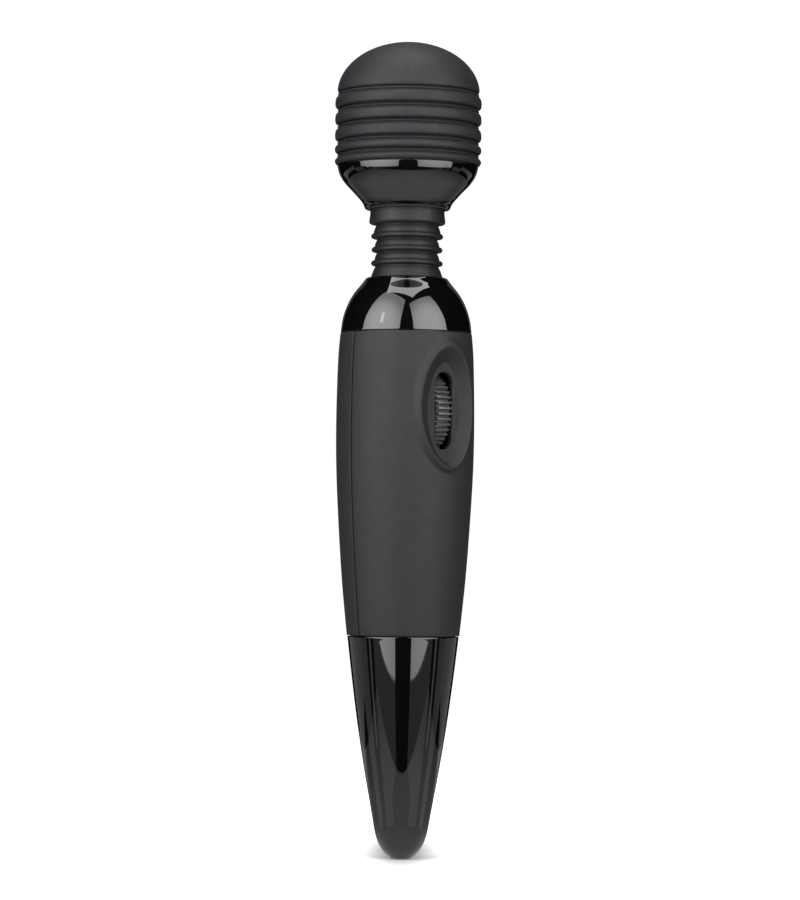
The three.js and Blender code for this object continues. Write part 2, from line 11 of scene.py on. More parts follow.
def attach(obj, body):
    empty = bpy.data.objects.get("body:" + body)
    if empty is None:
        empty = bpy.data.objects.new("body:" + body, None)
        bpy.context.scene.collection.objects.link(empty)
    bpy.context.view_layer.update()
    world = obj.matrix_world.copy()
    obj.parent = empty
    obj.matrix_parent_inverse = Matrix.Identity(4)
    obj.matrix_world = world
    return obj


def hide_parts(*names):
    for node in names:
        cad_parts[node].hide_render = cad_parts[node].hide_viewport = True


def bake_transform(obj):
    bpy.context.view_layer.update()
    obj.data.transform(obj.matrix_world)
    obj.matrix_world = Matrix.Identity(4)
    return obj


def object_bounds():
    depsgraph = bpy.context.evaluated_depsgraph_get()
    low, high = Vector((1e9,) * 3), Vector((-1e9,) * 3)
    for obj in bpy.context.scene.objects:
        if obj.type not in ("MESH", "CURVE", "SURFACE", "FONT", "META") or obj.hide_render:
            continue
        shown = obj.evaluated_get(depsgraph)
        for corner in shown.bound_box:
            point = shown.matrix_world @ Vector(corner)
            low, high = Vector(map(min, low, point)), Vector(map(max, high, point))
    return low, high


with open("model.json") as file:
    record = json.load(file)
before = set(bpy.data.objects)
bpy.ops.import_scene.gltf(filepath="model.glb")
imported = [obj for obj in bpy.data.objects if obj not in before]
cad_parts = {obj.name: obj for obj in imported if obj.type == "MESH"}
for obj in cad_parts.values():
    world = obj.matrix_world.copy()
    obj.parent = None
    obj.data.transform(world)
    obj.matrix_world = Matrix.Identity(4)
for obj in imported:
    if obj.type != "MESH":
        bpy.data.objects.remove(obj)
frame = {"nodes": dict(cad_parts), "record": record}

MM = 0.001
cad_low, cad_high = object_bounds()

# Heights along the axis, and the outer pieces' outlines as (height, radius)
TAIL_TOP = 85.4
SHELL_TOP = 201.6
SHOULDER_TOP = 222.9
COLLAR_LIP = 249.3
COLLAR_TOP = 266
CAP_LIP = 266.3
DOME_BASE = 294.0
LENGTH = cad_high.z / MM
TAIL_OUTLINE = [
    (0, 3.9), (1.3, 5.4), (3.3, 7.2), (7, 9.15), (14.7, 10.95), (30, 13.7), (53, 17.4),
    (TAIL_TOP, 21.45),
]
BODY_OUTLINE = [
    (TAIL_TOP, 21.65), (107, 23.8), (130, 25.4), (149, 26.35), (167, 26.6), (185, 26.3),
    (195.5, 25.85), (SHELL_TOP, 25.3),
]
SHOULDER_OUTLINE = [
    (SHELL_TOP, 25.25), (206.5, 24.6), (210, 23.65), (214, 21.95), (218, 19.4), (220.4, 17.4),
    (SHOULDER_TOP, 15.6),
]
COLLAR_OUTLINE = [
    (COLLAR_LIP, 16.5), (250.3, 16.72), (251.3, 17.1), (252.2, 17.65), (253.5, 18.72), (256.4, 21.38),
    (259.4, 24.2), (261.2, 25.5), (262.8, 26.35), (264.4, 26.85), (COLLAR_TOP, 27.2),
]
WALL = 2.2
GAP = 0.3          # between the handle's pieces, and round the ends of the neck
SEAM = 0.55        # between the front and rear shells
EDGE_FILLET = 0.28
SPIGOT = 6.3
CREASE_ANGLE = math.radians(35)

# Silicone cap
RIDGE_R = 28.3
GROOVE_R = 26.0
BEAD_R = 27.4
CREASE_R = 26.8
GROOVES = [270.2, 275.1, 281.4, 287.6, 293.9]
DOME_R = 27.5
CAP_BORE = 25.4
CAP_WALL = 1.8

# Neck
NECK_RIDGES = [(228.6, 13.95), (233.8, 13.8), (239.0, 14.0), (244.5, 14.75)]
NECK_GROOVES = [(226.3, 12.8), (231.3, 12.2), (236.4, 12.15), (241.5, 12.6)]
NOTCH = 0.55       # depth of the undercut below each ridge
NECK_END_R = 13.6
NECK_TOP_R = 14.3
NECK_BORE = 10.4
NECK_SPLIT = 236.4
LEAD_R = 0.7
SPRING = {"radius": 8, "wire": 0.9, "turns": 7, "from": 216.4, "to": 254.4}

# Thumb wheel, its slot and the dish round it. Each oval has half sizes, a middle height, and
# how pointed its upper and lower ends are (0.5 is an ellipse, 1 comes to a point).
WHEEL = {"radius": 16.5, "width": 6.5, "ridges": 48, "depth": 1.5, "y": -7.9, "z": 171.2}
SLOT = {"half_width": 4.1, "straight": 10.6}
FLOOR_Y = -23.2
BACK_Y = -20.9
FLOOR_OVAL = {"x": 8.2, "z": 18.6, "middle": 171.15, "up": 0.62, "down": 0.68}
CREST_OVAL = {"x": 12.6, "z": 23.3, "middle": 172.6, "up": 0.5, "down": 0.53}
FOOT_OVAL = {"x": 14.8, "z": 26.7, "middle": 173.7, "up": 0.52, "down": 0.52}
BACK_OVAL = {"x": 12.2, "z": 24.6, "middle": 171.2, "up": 0.5, "down": 0.5}
RIM_HEIGHT = 1.5


# ---- Outlines and meshes ----

def spline(points, steps):
    """Evenly spaced points on a natural cubic curve through a few."""
    p = np.array(points, float)
    t = np.concatenate([[0], np.cumsum(np.linalg.norm(np.diff(p, axis=0), axis=1))])
    h = np.diff(t)
    system, right = np.eye(len(t)), np.zeros_like(p)
    for i in range(1, len(t) - 1):
        system[i, i - 1:i + 2] = h[i - 1], 2 * (h[i - 1] + h[i]), h[i]
        right[i] = 6 * ((p[i + 1] - p[i]) / h[i] - (p[i] - p[i - 1]) / h[i - 1])
    bend = np.linalg.solve(system, right)
    at = np.linspace(0, t[-1], steps + 1)
    i = np.clip(np.searchsorted(t, at, side="right") - 1, 0, len(t) - 2)
    a = ((t[i + 1] - at) / h[i])[:, None]
    b = 1 - a
    curve = (a**3 - a) * bend[i] + (b**3 - b) * bend[i + 1]
    return a * p[i] + b * p[i + 1] + curve * (h[i] ** 2)[:, None] / 6


def rounded(points, steps=4):
    """A closed outline of (height, radius) or (height, radius, fillet), its corners rounded."""
    outline = []
    for i, point in enumerate(points):
        here = np.array(point[:2], float)
        if len(point) < 3:
            outline.append(here)
            continue
        before = np.array(points[i - 1][:2], float) - here
        after = np.array(points[(i + 1) % len(points)][:2], float) - here
        reach = min(point[2], 0.48 * np.linalg.norm(before), 0.48 * np.linalg.norm(after))
        start = here + before / np.linalg.norm(before) * reach
        end = here + after / np.linalg.norm(after) * reach
        for t in np.linspace(0, 1, steps + 1):
            outline.append((1 - t) ** 2 * start + 2 * t * (1 - t) * here + t**2 * end)
    return np.array(outline)


def lathe(profile, sides=144, shape=None):
    """A closed outline of (height, radius) turned about Z. shape(angle, height, radius) is added to
    the radius."""
    profile = np.array(profile, float)
    angles = np.arange(sides) * 2 * math.pi / sides
    verts, rows, faces = [], [], []
    for z, r in profile:
        first = len(verts)
        if r < 1e-6:
            verts.append((0, 0, z))
            rows.append([first] * sides)
            continue
        for angle in angles:
            size = r + (shape(angle, z, r) if shape else 0)
            verts.append((size * math.cos(angle), size * math.sin(angle), z))
        rows.append(range(first, first + sides))
    for low, high in zip(rows, rows[1:] + rows[:1]):
        for i in range(sides):
            j = (i + 1) % sides
            corners = list(dict.fromkeys((low[i], low[j], high[j], high[i])))
            if len(corners) > 2:
                faces.append(corners)
    return np.array(verts), faces


def loft(rings, closed=True):
    """Rings of equally many points joined in turn. The last joins the first, or the ends are capped."""
    count = len(rings[0])
    verts = np.concatenate(rings)
    faces = []
    for k in range(len(rings) if closed else len(rings) - 1):
        low, high = k * count, (k + 1) % len(rings) * count
        for i in range(count):
            j = (i + 1) % count
            faces.append((low + i, low + j, high + j, high + i))
    if not closed:
        faces.append(tuple(range(count))[::-1])
        faces.append(tuple(range(len(verts) - count, len(verts))))
    return verts, faces


def tube(points, radius):
    """A round rod along points, with its ends closed."""
    points = [Vector(p) for p in points]
    rings, up, sides = [], None, 12
    for i, here in enumerate(points):
        along = (points[min(i + 1, len(points) - 1)] - points[max(i - 1, 0)]).normalized()
        up = (up or along.orthogonal()).cross(along).cross(along).normalized() * -1
        side = along.cross(up)
        rings.append([
            here + radius * (math.cos(a) * up + math.sin(a) * side)
            for a in np.arange(sides) * 2 * math.pi / sides
        ])
    return loft(rings, closed=False)


def slab(outer, inner):
    """A closed solid between two grids of points with the same rows and columns."""
    rows, columns = outer.shape[:2]
    size = rows * columns
    verts = np.concatenate([outer.reshape(-1, 3), inner.reshape(-1, 3)])
    at = np.arange(size).reshape(rows, columns)
    faces = []
    for i in range(rows - 1):
        for j in range(columns - 1):
            quad = (at[i, j], at[i, j + 1], at[i + 1, j + 1], at[i + 1, j])
            faces.append(quad)
            faces.append(tuple(q + size for q in quad[::-1]))
    edge = [*at[0, :-1], *at[:-1, -1], *at[-1, :0:-1], *at[:0:-1, 0]]
    for a, b in zip(edge, edge[1:] + edge[:1]):
        faces.append((b, a, a + size, b + size))
    return verts, faces


def together(*shapes):
    """Several (vertices, faces) as one."""
    verts, faces, first = [], [], 0
    for v, f in shapes:
        verts.append(np.array(v, float).reshape(-1, 3))
        faces += [tuple(int(i) + first for i in face) for face in f]
        first += len(v)
    return np.concatenate(verts), faces


def facing_out(verts, faces):
    """The faces, turned round if they point inwards."""
    corners = [(f[0], b, c) for f in faces for b, c in zip(f[1:], f[2:])]
    a, b, c = (verts[list(column)] for column in zip(*corners))
    volume = (a * np.cross(b, c)).sum()
    return faces if volume > 0 else [tuple(face)[::-1] for face in faces]


def piece(name, shape, body, slot, *nodes):
    """A mesh object from a shape in millimetres, riding on a body, in place of CAD nodes."""
    verts, faces = shape
    mesh = bpy.data.meshes.new(name)
    mesh.from_pydata((verts * MM).tolist(), [], [tuple(map(int, f)) for f in facing_out(verts, faces)])
    mesh.validate()
    obj = bpy.data.objects.new(name, mesh)
    bpy.context.scene.collection.objects.link(obj)
    mesh.shade_smooth()
    mesh.set_sharp_from_angle(angle=CREASE_ANGLE)
    mesh.materials.append(materials[slot])
    if body:
        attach(obj, body)
    if nodes:
        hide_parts(*nodes)
    return obj


# ---- Materials ----

class Nodes:
    """A material's node tree, with its Principled shader."""

    def __init__(self, name):
        self.material = bpy.data.materials.new(name)
        self.material.use_nodes = True
        self.tree = self.material.node_tree
        self.shader = self.tree.nodes["Principled BSDF"]
        self.place = self.add("ShaderNodeTexCoord").outputs["Object"]

    def add(self, kind, inputs=None, **settings):
        node = self.tree.nodes.new(kind)
        for key, value in settings.items():
            setattr(node, key, value)
        for key, value in (inputs or {}).items():
            self.plug(node.inputs[key], value)
        return node

    def plug(self, socket, value):
        if isinstance(value, bpy.types.NodeSocket):
            self.tree.links.new(value, socket)
        else:
            socket.default_value = value

    def noise(self, scale, detail, place=None):
        inputs = {"Vector": place or self.place, "Scale": scale, "Detail": detail, "Roughness": 0.55}
        return self.add("ShaderNodeTexNoise", inputs).outputs["Fac"]

    def spread(self, value, low, high, from_low=0.3, from_high=0.7):
        inputs = {0: value, 1: from_low, 2: from_high, 3: low, 4: high}
        return self.add("ShaderNodeMapRange", inputs).outputs[0]

    def mix(self, share, first, second):
        node = self.add("ShaderNodeMix", data_type="RGBA")
        for key, value in ((0, share), (6, first), (7, second)):
            self.plug(node.inputs[key], value)
        return node.outputs[2]

    def stretched(self, x, y, z):
        return self.add("ShaderNodeMapping", {"Vector": self.place, "Scale": (x, y, z)}).outputs[0]

    def bump(self, height, distance):
        inputs = {"Height": height, "Distance": distance * MM, "Strength": 1.0}
        return self.add("ShaderNodeBump", inputs).outputs[0]

    def specks(self, scale, size, share):
        """1 on small round specks, one in a share of cells."""
        cells = self.add("ShaderNodeTexVoronoi", {"Vector": self.place, "Scale": scale})
        near = self.spread(cells.outputs["Distance"], 1, 0, size * 0.5, size)
        pick = self.add("ShaderNodeSeparateColor", {0: cells.outputs["Color"]}).outputs[0]
        chosen = self.spread(pick, 0, 1, 1 - share, 1 - share + 0.01)
        return self.add("ShaderNodeMath", {0: near, 1: chosen}, operation="MULTIPLY").outputs[0]


def grey(value):
    return (value, value, value, 1)


def plastic(name, colour, roughness, grain, mottle, rough_spread, coat=0.0, metallic=0.0,
            specular=0.5, dust=None, streak=None):
    """A moulded or drawn surface: mottled colour, uneven roughness, fine grain and a little dust.
    Grain is (scale, height in millimetres), and dust is (scale, size, share, brightness)."""
    n = Nodes(name)
    colour = Vector(colour)
    cloud = n.noise(90, 4)
    dark, light = (*(colour * (1 - mottle)), 1), (*(colour * (1 + mottle)), 1)
    base = n.mix(n.spread(cloud, 0, 1), dark, light)
    rough = n.spread(n.noise(260, 3), roughness - rough_spread, roughness + rough_spread)
    fine = n.noise(grain[0], 2, place=n.stretched(*streak) if streak else None)
    normal = n.bump(fine, grain[1])
    if dust:
        scale, size, share, brightness = dust
        fleck = n.specks(scale, size, share)
        base = n.mix(fleck, base, grey(brightness))
    inputs = {
        "Base Color": base, "Roughness": rough, "Metallic": metallic, "Normal": normal,
        "Specular IOR Level": specular, "Coat Weight": coat, "Coat Roughness": 0.04,
    }
    for key, value in inputs.items():
        n.plug(n.shader.inputs[key], value)
    return n.material


def make_materials():
    return {
        "gloss_black": plastic("gloss_black", (0.0017, 0.0017, 0.002), 0.03, (140, 0.002), 0.2, 0.01,
                               specular=0.66, dust=(420, 0.05, 0.05, 0.25)),
        "soft_touch": plastic("soft_touch", (0.0062, 0.006, 0.0078), 0.64, (3200, 0.014), 0.05, 0.04,
                              specular=0.32, dust=(400, 0.1, 0.05, 0.05)),
        "silicone": plastic("silicone", (0.0066, 0.0064, 0.0084), 0.62, (2800, 0.02), 0.08, 0.05,
                            specular=0.3, dust=(400, 0.11, 0.16, 0.07)),
        "neck_rubber": plastic("neck_rubber", (0.003, 0.0028, 0.0044), 0.56, (2600, 0.02), 0.1, 0.06,
                               specular=0.32, dust=(400, 0.11, 0.16, 0.07)),
        "wheel_plastic": plastic("wheel_plastic", (0.05, 0.05, 0.051), 0.24, (2500, 0.006), 0.08, 0.06),
        "inner_plastic": plastic("inner_plastic", (0.09, 0.09, 0.095), 0.45, (1800, 0.012), 0.1, 0.06),
        "steel": plastic("steel", (0.62, 0.63, 0.64), 0.3, (900, 0.006), 0.06, 0.08, metallic=1,
                         streak=(1, 1, 8)),
        "brass": plastic("brass", (0.75, 0.55, 0.25), 0.28, (900, 0.006), 0.06, 0.08, metallic=1,
                         streak=(1, 1, 8)),
        "copper": plastic("copper", (0.72, 0.33, 0.18), 0.35, (1500, 0.06), 0.15, 0.08, metallic=1,
                          streak=(1, 1, 6)),
        "ferrite": plastic("ferrite", (0.06, 0.06, 0.062), 0.7, (2200, 0.05), 0.25, 0.08),
        "board_laminate": plastic("board_laminate", (0.02, 0.16, 0.07), 0.35, (700, 0.02), 0.2, 0.06),
        "component_black": plastic("component_black", (0.02, 0.02, 0.02), 0.5, (1800, 0.02), 0.15, 0.08),
        "cell_wrap": plastic("cell_wrap", (0.06, 0.2, 0.45), 0.25, (220, 0.03), 0.08, 0.05, coat=0.3),
        "lead_red": plastic("lead_red", (0.5, 0.02, 0.02), 0.4, (1500, 0.02), 0.1, 0.06),
        "lead_black": plastic("lead_black", (0.02, 0.02, 0.02), 0.4, (1500, 0.02), 0.1, 0.06),
    }


# ---- Handle ----

BODY_CURVE = spline(BODY_OUTLINE, 400)


def body_radius(z):
    return np.interp(z, BODY_CURVE[:, 0], BODY_CURVE[:, 1])


def tail_cap():
    """The glossy tail, hollow above the shelf that holds the charging jack."""
    spigot = BODY_OUTLINE[0][1] - WALL - GAP
    outer = spline(TAIL_OUTLINE, 90)
    outer = [tuple(p) for p in outer if 0.35 < p[0] < TAIL_TOP - GAP - 0.3]
    inner = [tuple(p) for p in spline(TAIL_OUTLINE[4:], 20) - (0, WALL)][::-1]
    shelf, bore, seat, mouth = 16.5, 4.2, 1.6, 2.9
    inner = [p for p in inner if shelf + 0.5 < p[0] < TAIL_TOP - 4]
    return lathe(rounded([
        (0, mouth, 0.4), (0, 4.0, 0.35), *outer, (TAIL_TOP - GAP, 21.43, 0.25),
        (TAIL_TOP - GAP, spigot, 0.2), (TAIL_TOP + SPIGOT, spigot, 0.3),
        (TAIL_TOP + SPIGOT, spigot - 2, 0.3), (TAIL_TOP - 3, spigot - 2, 0.5), *inner,
        (shelf, 9.3, 0.3), (shelf, bore, 0.2), (seat, bore), (seat, mouth),
    ]))


QUARTER = 64       # points in a quarter of each ring of the front shell
HALF_FRONT = 40    # about the distance round the body from the middle of the front to a seam


def resampled(points, count):
    """The points moved along their line to be evenly spaced."""
    points = np.array(points, float)
    along = np.concatenate([[0], np.cumsum(np.linalg.norm(np.diff(points, axis=0), axis=1))])
    at = np.linspace(0, along[-1], count + 1)
    return np.stack([np.interp(at, along, points[:, k]) for k in range(points.shape[1])], axis=1)


def ring_of(upper, lower):
    """A ring from its right upper and right lower quarters, which run from its widest point."""
    flip = np.array([-1, 1])
    return np.concatenate([
        upper[:-1], (upper * flip)[:0:-1], (lower * flip)[:-1], lower[:0:-1],
    ])


def oval(shape):
    """An oval ring of (x, height), its ends as pointed as the shape says."""
    turn = np.linspace(0, math.pi / 2, 400)
    quarters = []
    for side, power in ((1, shape["up"]), (-1, shape["down"])):
        x = shape["x"] * np.cos(turn) ** (2 * power)
        z = shape["middle"] + side * shape["z"] * np.sin(turn)
        quarters.append(resampled(np.stack([x, z], axis=1), QUARTER))
    return ring_of(*quarters)


def slot_ring(grow):
    """The round-ended outline of the wheel's slot as (x, height), grown by an amount."""
    radius, straight = SLOT["half_width"] + grow, SLOT["straight"]
    quarters = []
    for side in (1, -1):
        line = [(radius, WHEEL["z"])]
        line += [
            (radius * math.cos(a), WHEEL["z"] + side * (straight + radius * math.sin(a)))
            for a in np.linspace(0, math.pi / 2, 60)
        ]
        quarters.append(resampled(line, QUARTER))
    return ring_of(*quarters)


def edge_ring(low, high, middle):
    """The front half's edge as (share of the half turn, height, outward share, outward height)."""
    quarters = []
    for end in (high, low):
        side = round(QUARTER * abs(end - middle) / (abs(end - middle) + HALF_FRONT))
        up = 1 if end == high else -1
        rows = [(1, z, 1, 0) for z in np.linspace(middle, end, side + 1)]
        rows[-1] = (1, end, 1, up)
        rows += [(s, end, 0, up) for s in np.linspace(1, 0, QUARTER - side + 1)[1:]]
        quarters.append(np.array(rows, float))
    flip = np.array([-1, 1, -1, 1])
    upper, lower = quarters
    return np.concatenate([
        upper[:-1], (upper * flip)[:0:-1], (lower * flip)[:-1], lower[:0:-1],
    ])


def flat(ring, y):
    """A ring of (x, height) laid in the plane of one y."""
    return np.stack([ring[:, 0], np.full(len(ring), y), ring[:, 1]], axis=1)


def on_body(ring, lift):
    """A ring of (x, height) laid on the body, raised by a lift."""
    radius = body_radius(ring[:, 1]) + lift
    return np.stack([ring[:, 0], -np.sqrt(radius**2 - ring[:, 0] ** 2), ring[:, 1]], axis=1)


def wrapped(share, z, lift):
    """Points on the front half at a share of the way from its middle to its seam."""
    radius = body_radius(z) + lift
    turn = share * np.arccos(SEAM / 2 / radius)
    return np.stack([radius * np.sin(turn), -radius * np.cos(turn), z], axis=1)


def front_shell():
    """Rings from the slot's back edge out through the slot, over the dish's floor, wall and rim, along
    the body to the shell's edge, and back along the inside."""
    low, high, fillet = TAIL_TOP, SHELL_TOP - GAP / 2, EDGE_FILLET
    floor, crest, foot = oval(FLOOR_OVAL), oval(CREST_OVAL), oval(FOOT_OVAL)
    slot_fillet, back_fillet = 0.45, 0.3
    rings = []
    for a in np.linspace(math.pi / 2, 0, 3):
        spread = back_fillet * (1 - math.cos(a))
        rings.append(flat(slot_ring(spread), BACK_Y - back_fillet * (1 - math.sin(a))))
    for a in np.linspace(0, math.pi / 2, 6):
        spread = slot_fillet * (1 - math.cos(a))
        rings.append(flat(slot_ring(spread), FLOOR_Y + slot_fillet * (1 - math.sin(a))))
    rim = slot_ring(slot_fillet)
    for t in (0.25, 0.5, 0.75, 0.96):
        rings.append(flat(rim + (floor - rim) * t, FLOOR_Y))
    top = on_body(crest, RIM_HEIGHT)[:, 1]
    straight = 0.86
    climb = straight + (1 - straight) / 2
    for t in (0.03, 0.12, 0.24, 0.36, 0.48, 0.6, 0.7, 0.78, 0.85, 0.91, 0.96):
        ease = max(0, t - straight)
        rise = (t - ease**2 / (2 * (1 - straight))) / climb
        xz = floor + (crest - floor) * t
        rings.append(np.stack([xz[:, 0], FLOOR_Y + rise * (top - FLOOR_Y), xz[:, 1]], axis=1))
    for t in np.linspace(0, 1, 15):
        lift = RIM_HEIGHT * (0.5 + 0.5 * math.cos(math.pi * t))
        rings.append(on_body(crest + (foot - crest) * t, lift))
    edge = edge_ring(low, high, FOOT_OVAL["middle"])
    radius = body_radius(foot[:, 1])
    foot_share = np.arcsin(foot[:, 0] / radius) / np.arccos(SEAM / 2 / radius)
    foot_at = np.stack([foot_share, foot[:, 1]], axis=1)
    inset = np.stack([
        edge[:, 0] - edge[:, 2] * fillet / HALF_FRONT, edge[:, 1] - edge[:, 3] * fillet,
    ], axis=1)
    for t in np.linspace(0, 1, 29)[1:]:
        at = foot_at + (inset - foot_at) * t
        rings.append(wrapped(at[:, 0], at[:, 1], 0))
    for a in (math.pi / 6, math.pi / 3, math.pi / 2):
        reach = fillet * (math.sin(a) - 1)
        at = edge[:, :2] + edge[:, 2:] * np.array([reach / HALF_FRONT, reach])
        rings.append(wrapped(at[:, 0], at[:, 1], -fillet * (1 - math.cos(a))))
    back = oval(BACK_OVAL)
    radius = body_radius(back[:, 1]) - WALL
    back_share = np.arcsin(back[:, 0] / radius) / np.arccos(SEAM / 2 / radius)
    back_at = np.stack([back_share, back[:, 1]], axis=1)
    for t in (0, 0.2, 0.4, 0.6, 0.8):
        at = edge[:, :2] + (back_at - edge[:, :2]) * t
        rings.append(wrapped(at[:, 0], at[:, 1], -WALL))
    rings.append(on_body(back, -WALL))
    rings.append(flat(back * (0.98, 1), BACK_Y))
    hole = slot_ring(back_fillet)
    rings.append(flat(hole + (back - hole) * 0.5, BACK_Y))
    return loft(rings)


def rear_shell():
    """The rear shell, and the two bosses that the board is screwed to."""
    low, high, fillet = TAIL_TOP, SHELL_TOP - GAP / 2, EDGE_FILLET
    past = fillet * np.sin(np.radians([0, 30, 60, 90]))
    levels, columns = 30, 61
    heights = [
        *(low + fillet - past[::-1]), *np.linspace(low + 4, high - 4, levels), *(high - fillet + past),
    ]
    z_past = [*past[::-1], *[0] * levels, *past]
    turns = [*[-1] * len(past), *np.linspace(-0.985, 0.985, columns), *[1] * len(past)]
    turn_past = [*past[::-1], *[0] * columns, *past]
    outer, inner = [], []
    for z, dz in zip(heights, z_past):
        rows = [[], []]
        for share, du in zip(turns, turn_past):
            drop = fillet - math.sqrt(max(0, fillet**2 - dz**2 - du**2))
            r = float(body_radius(z))
            edge = math.copysign(1, share) if abs(share) == 1 else 0
            for row, radius in zip(rows, (r - drop, r - WALL)):
                half = math.acos(SEAM / 2 / radius)
                turn = share * half - edge * (fillet - du) / radius
                row.append((radius * math.sin(turn), radius * math.cos(turn), z))
        outer.append(rows[0])
        inner.append(rows[1])
    shell = slab(np.array(outer), np.array(inner))
    bosses = []
    for x, z in ((-14.5, 123), (14.5, 190)):
        post, hole, board = 2.8, 1.0, 10.9
        end = math.sqrt((float(body_radius(z)) - WALL / 2) ** 2 - (abs(x) + post) ** 2)
        outline = [(board, hole, 0.2), (board, post, 0.3), (end, post), (end, hole)]
        verts, faces = lathe(rounded(outline), 32)
        verts = np.stack([verts[:, 0] + x, verts[:, 2], verts[:, 1] + z], axis=1)
        bosses.append((verts, faces))
    return together(shell, *bosses)


def shoulder_ring():
    """The glossy ring, with a spigot inside the shells and a seat for the foot of the bellows."""
    spigot = BODY_OUTLINE[-1][1] - WALL - 0.4
    foot, bore, ledge, seat = SHELL_TOP - 5.1, 20.3, 214.3, 220.3
    neck = NECK_END_R + GAP
    outer = [tuple(p) for p in spline(SHOULDER_OUTLINE, 80)][2:-4]
    return lathe(rounded([
        (foot, bore, 0.3), (foot, spigot, 0.3), (SHELL_TOP + GAP / 2, spigot, 0.1),
        (SHELL_TOP + GAP / 2, 25.2, 0.3), *outer,
        (SHOULDER_TOP, 15.5, 0.8), (SHOULDER_TOP + 0.1, neck, 0.3),
        (seat, neck, 0.1), (seat, 15.5, 0.1), (ledge, 15.5, 0.1), (ledge, bore, 0.3),
    ], 6))


# ---- Thumb wheel ----

def knurl(angle, x, r):
    """How far a knurled rim falls below its crest at an angle."""
    if r < WHEEL["radius"] - 1:
        return 0
    pitch = 2 * math.pi / WHEEL["ridges"]
    away = abs((angle / pitch) % 1 - 0.5) * 2
    top, flank, crown = 0.34, 0.3, 0.25
    share = min(1, max(0, (away - top) / flank))
    return -WHEEL["depth"] * share * share * (3 - 2 * share) - crown * away * away


def speed_wheel():
    """A webbed wheel with a knurled rim, turned about X."""
    half, outer = WHEEL["width"] / 2, WHEEL["radius"]
    rim, web, hub, bore = 13, 1.2, 4.2, 1.55
    verts, faces = lathe(rounded([
        (-half, rim, 0.3), (-half, outer, 0.5), (half, outer, 0.5), (half, rim, 0.3),
        (web, rim, 0.4), (web, hub, 0.4), (half, hub, 0.3), (half, bore, 0.2),
        (-half, bore, 0.2), (-half, hub, 0.3), (-web, hub, 0.4), (-web, rim, 0.4),
    ]), WHEEL["ridges"] * 12, knurl)
    verts = np.stack([verts[:, 2], verts[:, 1] + WHEEL["y"], verts[:, 0] + WHEEL["z"]], axis=1)
    return verts, faces


# ---- Neck ----

def bellows_outline():
    """Narrow ridges over sharp undercuts, with a fine crease where each meets the valley above."""
    foot, head, bead = 218.2, 253.6, 1.75
    waves = [(223.4, 13.75, 0.3), (224.6, 13.35, 0.6), (225.9, 12.9, 0.8)]
    for i, (z, r) in enumerate(NECK_RIDGES):
        below = NECK_GROOVES[i][1]
        waves += [(z - 1.5, below - NOTCH, 0.2), (z - 1.05, below - NOTCH, 0.15)]
        waves += [(z - 0.9, r - 0.45, 0.35), (z - 0.1, r, 0.5)]
        if i < len(NECK_RIDGES) - 1:
            above_z, above = NECK_GROOVES[i + 1]
            waves += [(z + 0.8, r - 0.5, 0.3), (z + 1.15, above + 0.2, 0.12)]
            waves += [(z + 1.5, above + 0.32, 0.3), (above_z, above + 0.02, 0.8)]
    return rounded([
        (foot, NECK_BORE, 0.2), (foot, 15.2, 0.3), (foot + bead, 15.2, 0.3),
        (foot + bead, NECK_END_R, 0.1), (SHOULDER_TOP - 0.4, NECK_END_R), *waves,
        (246.2, 14.5, 1), (248, NECK_TOP_R, 1), (head - bead, NECK_TOP_R, 0.1), (head - bead, 15.6, 0.3),
        (head, 15.6, 0.3), (head, NECK_BORE, 0.2),
    ])


def cut_outline(outline, height, keep_low):
    """The part of a closed lathe outline on one side of a height."""
    side = -1 if keep_low else 1
    kept = []
    for a, b in zip(outline, np.roll(outline, -1, axis=0)):
        above_a, above_b = side * (a[0] - height), side * (b[0] - height)
        if above_a >= 0:
            kept.append(a)
        if above_a * above_b < 0:
            kept.append(a + (b - a) * (height - a[0]) / (b[0] - a[0]))
    return np.array(kept)


def parting_line(angle, z, r):
    """A faint moulding line down the front and the back of the neck."""
    height, width = 0.07, 0.22
    away = min(abs((angle % math.pi) - math.pi / 2) * r, 1)
    return height * math.exp(-((away / width) ** 2)) if 12 < r < 14.9 else 0


def spring_points(low, high):
    """The middle line of the neck's coil spring between two heights."""
    start, end = SPRING["from"], SPRING["to"]
    turns, radius = SPRING["turns"], SPRING["radius"]
    count = turns * 24
    points = []
    for i in range(count + 1):
        z = start + (end - start) * i / count
        if low - 0.01 <= z <= high + 0.01:
            angle = 2 * math.pi * turns * i / count
            points.append((radius * math.cos(angle), radius * math.sin(angle), z))
    return points


def neck_piece(name, shape, slot, node, lower):
    """A piece of one half of the neck, in place of a CAD node, its placement baked into the mesh."""
    made = piece(name, shape, None, slot, node)
    if lower:
        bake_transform(made)
    else:
        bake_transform(made)


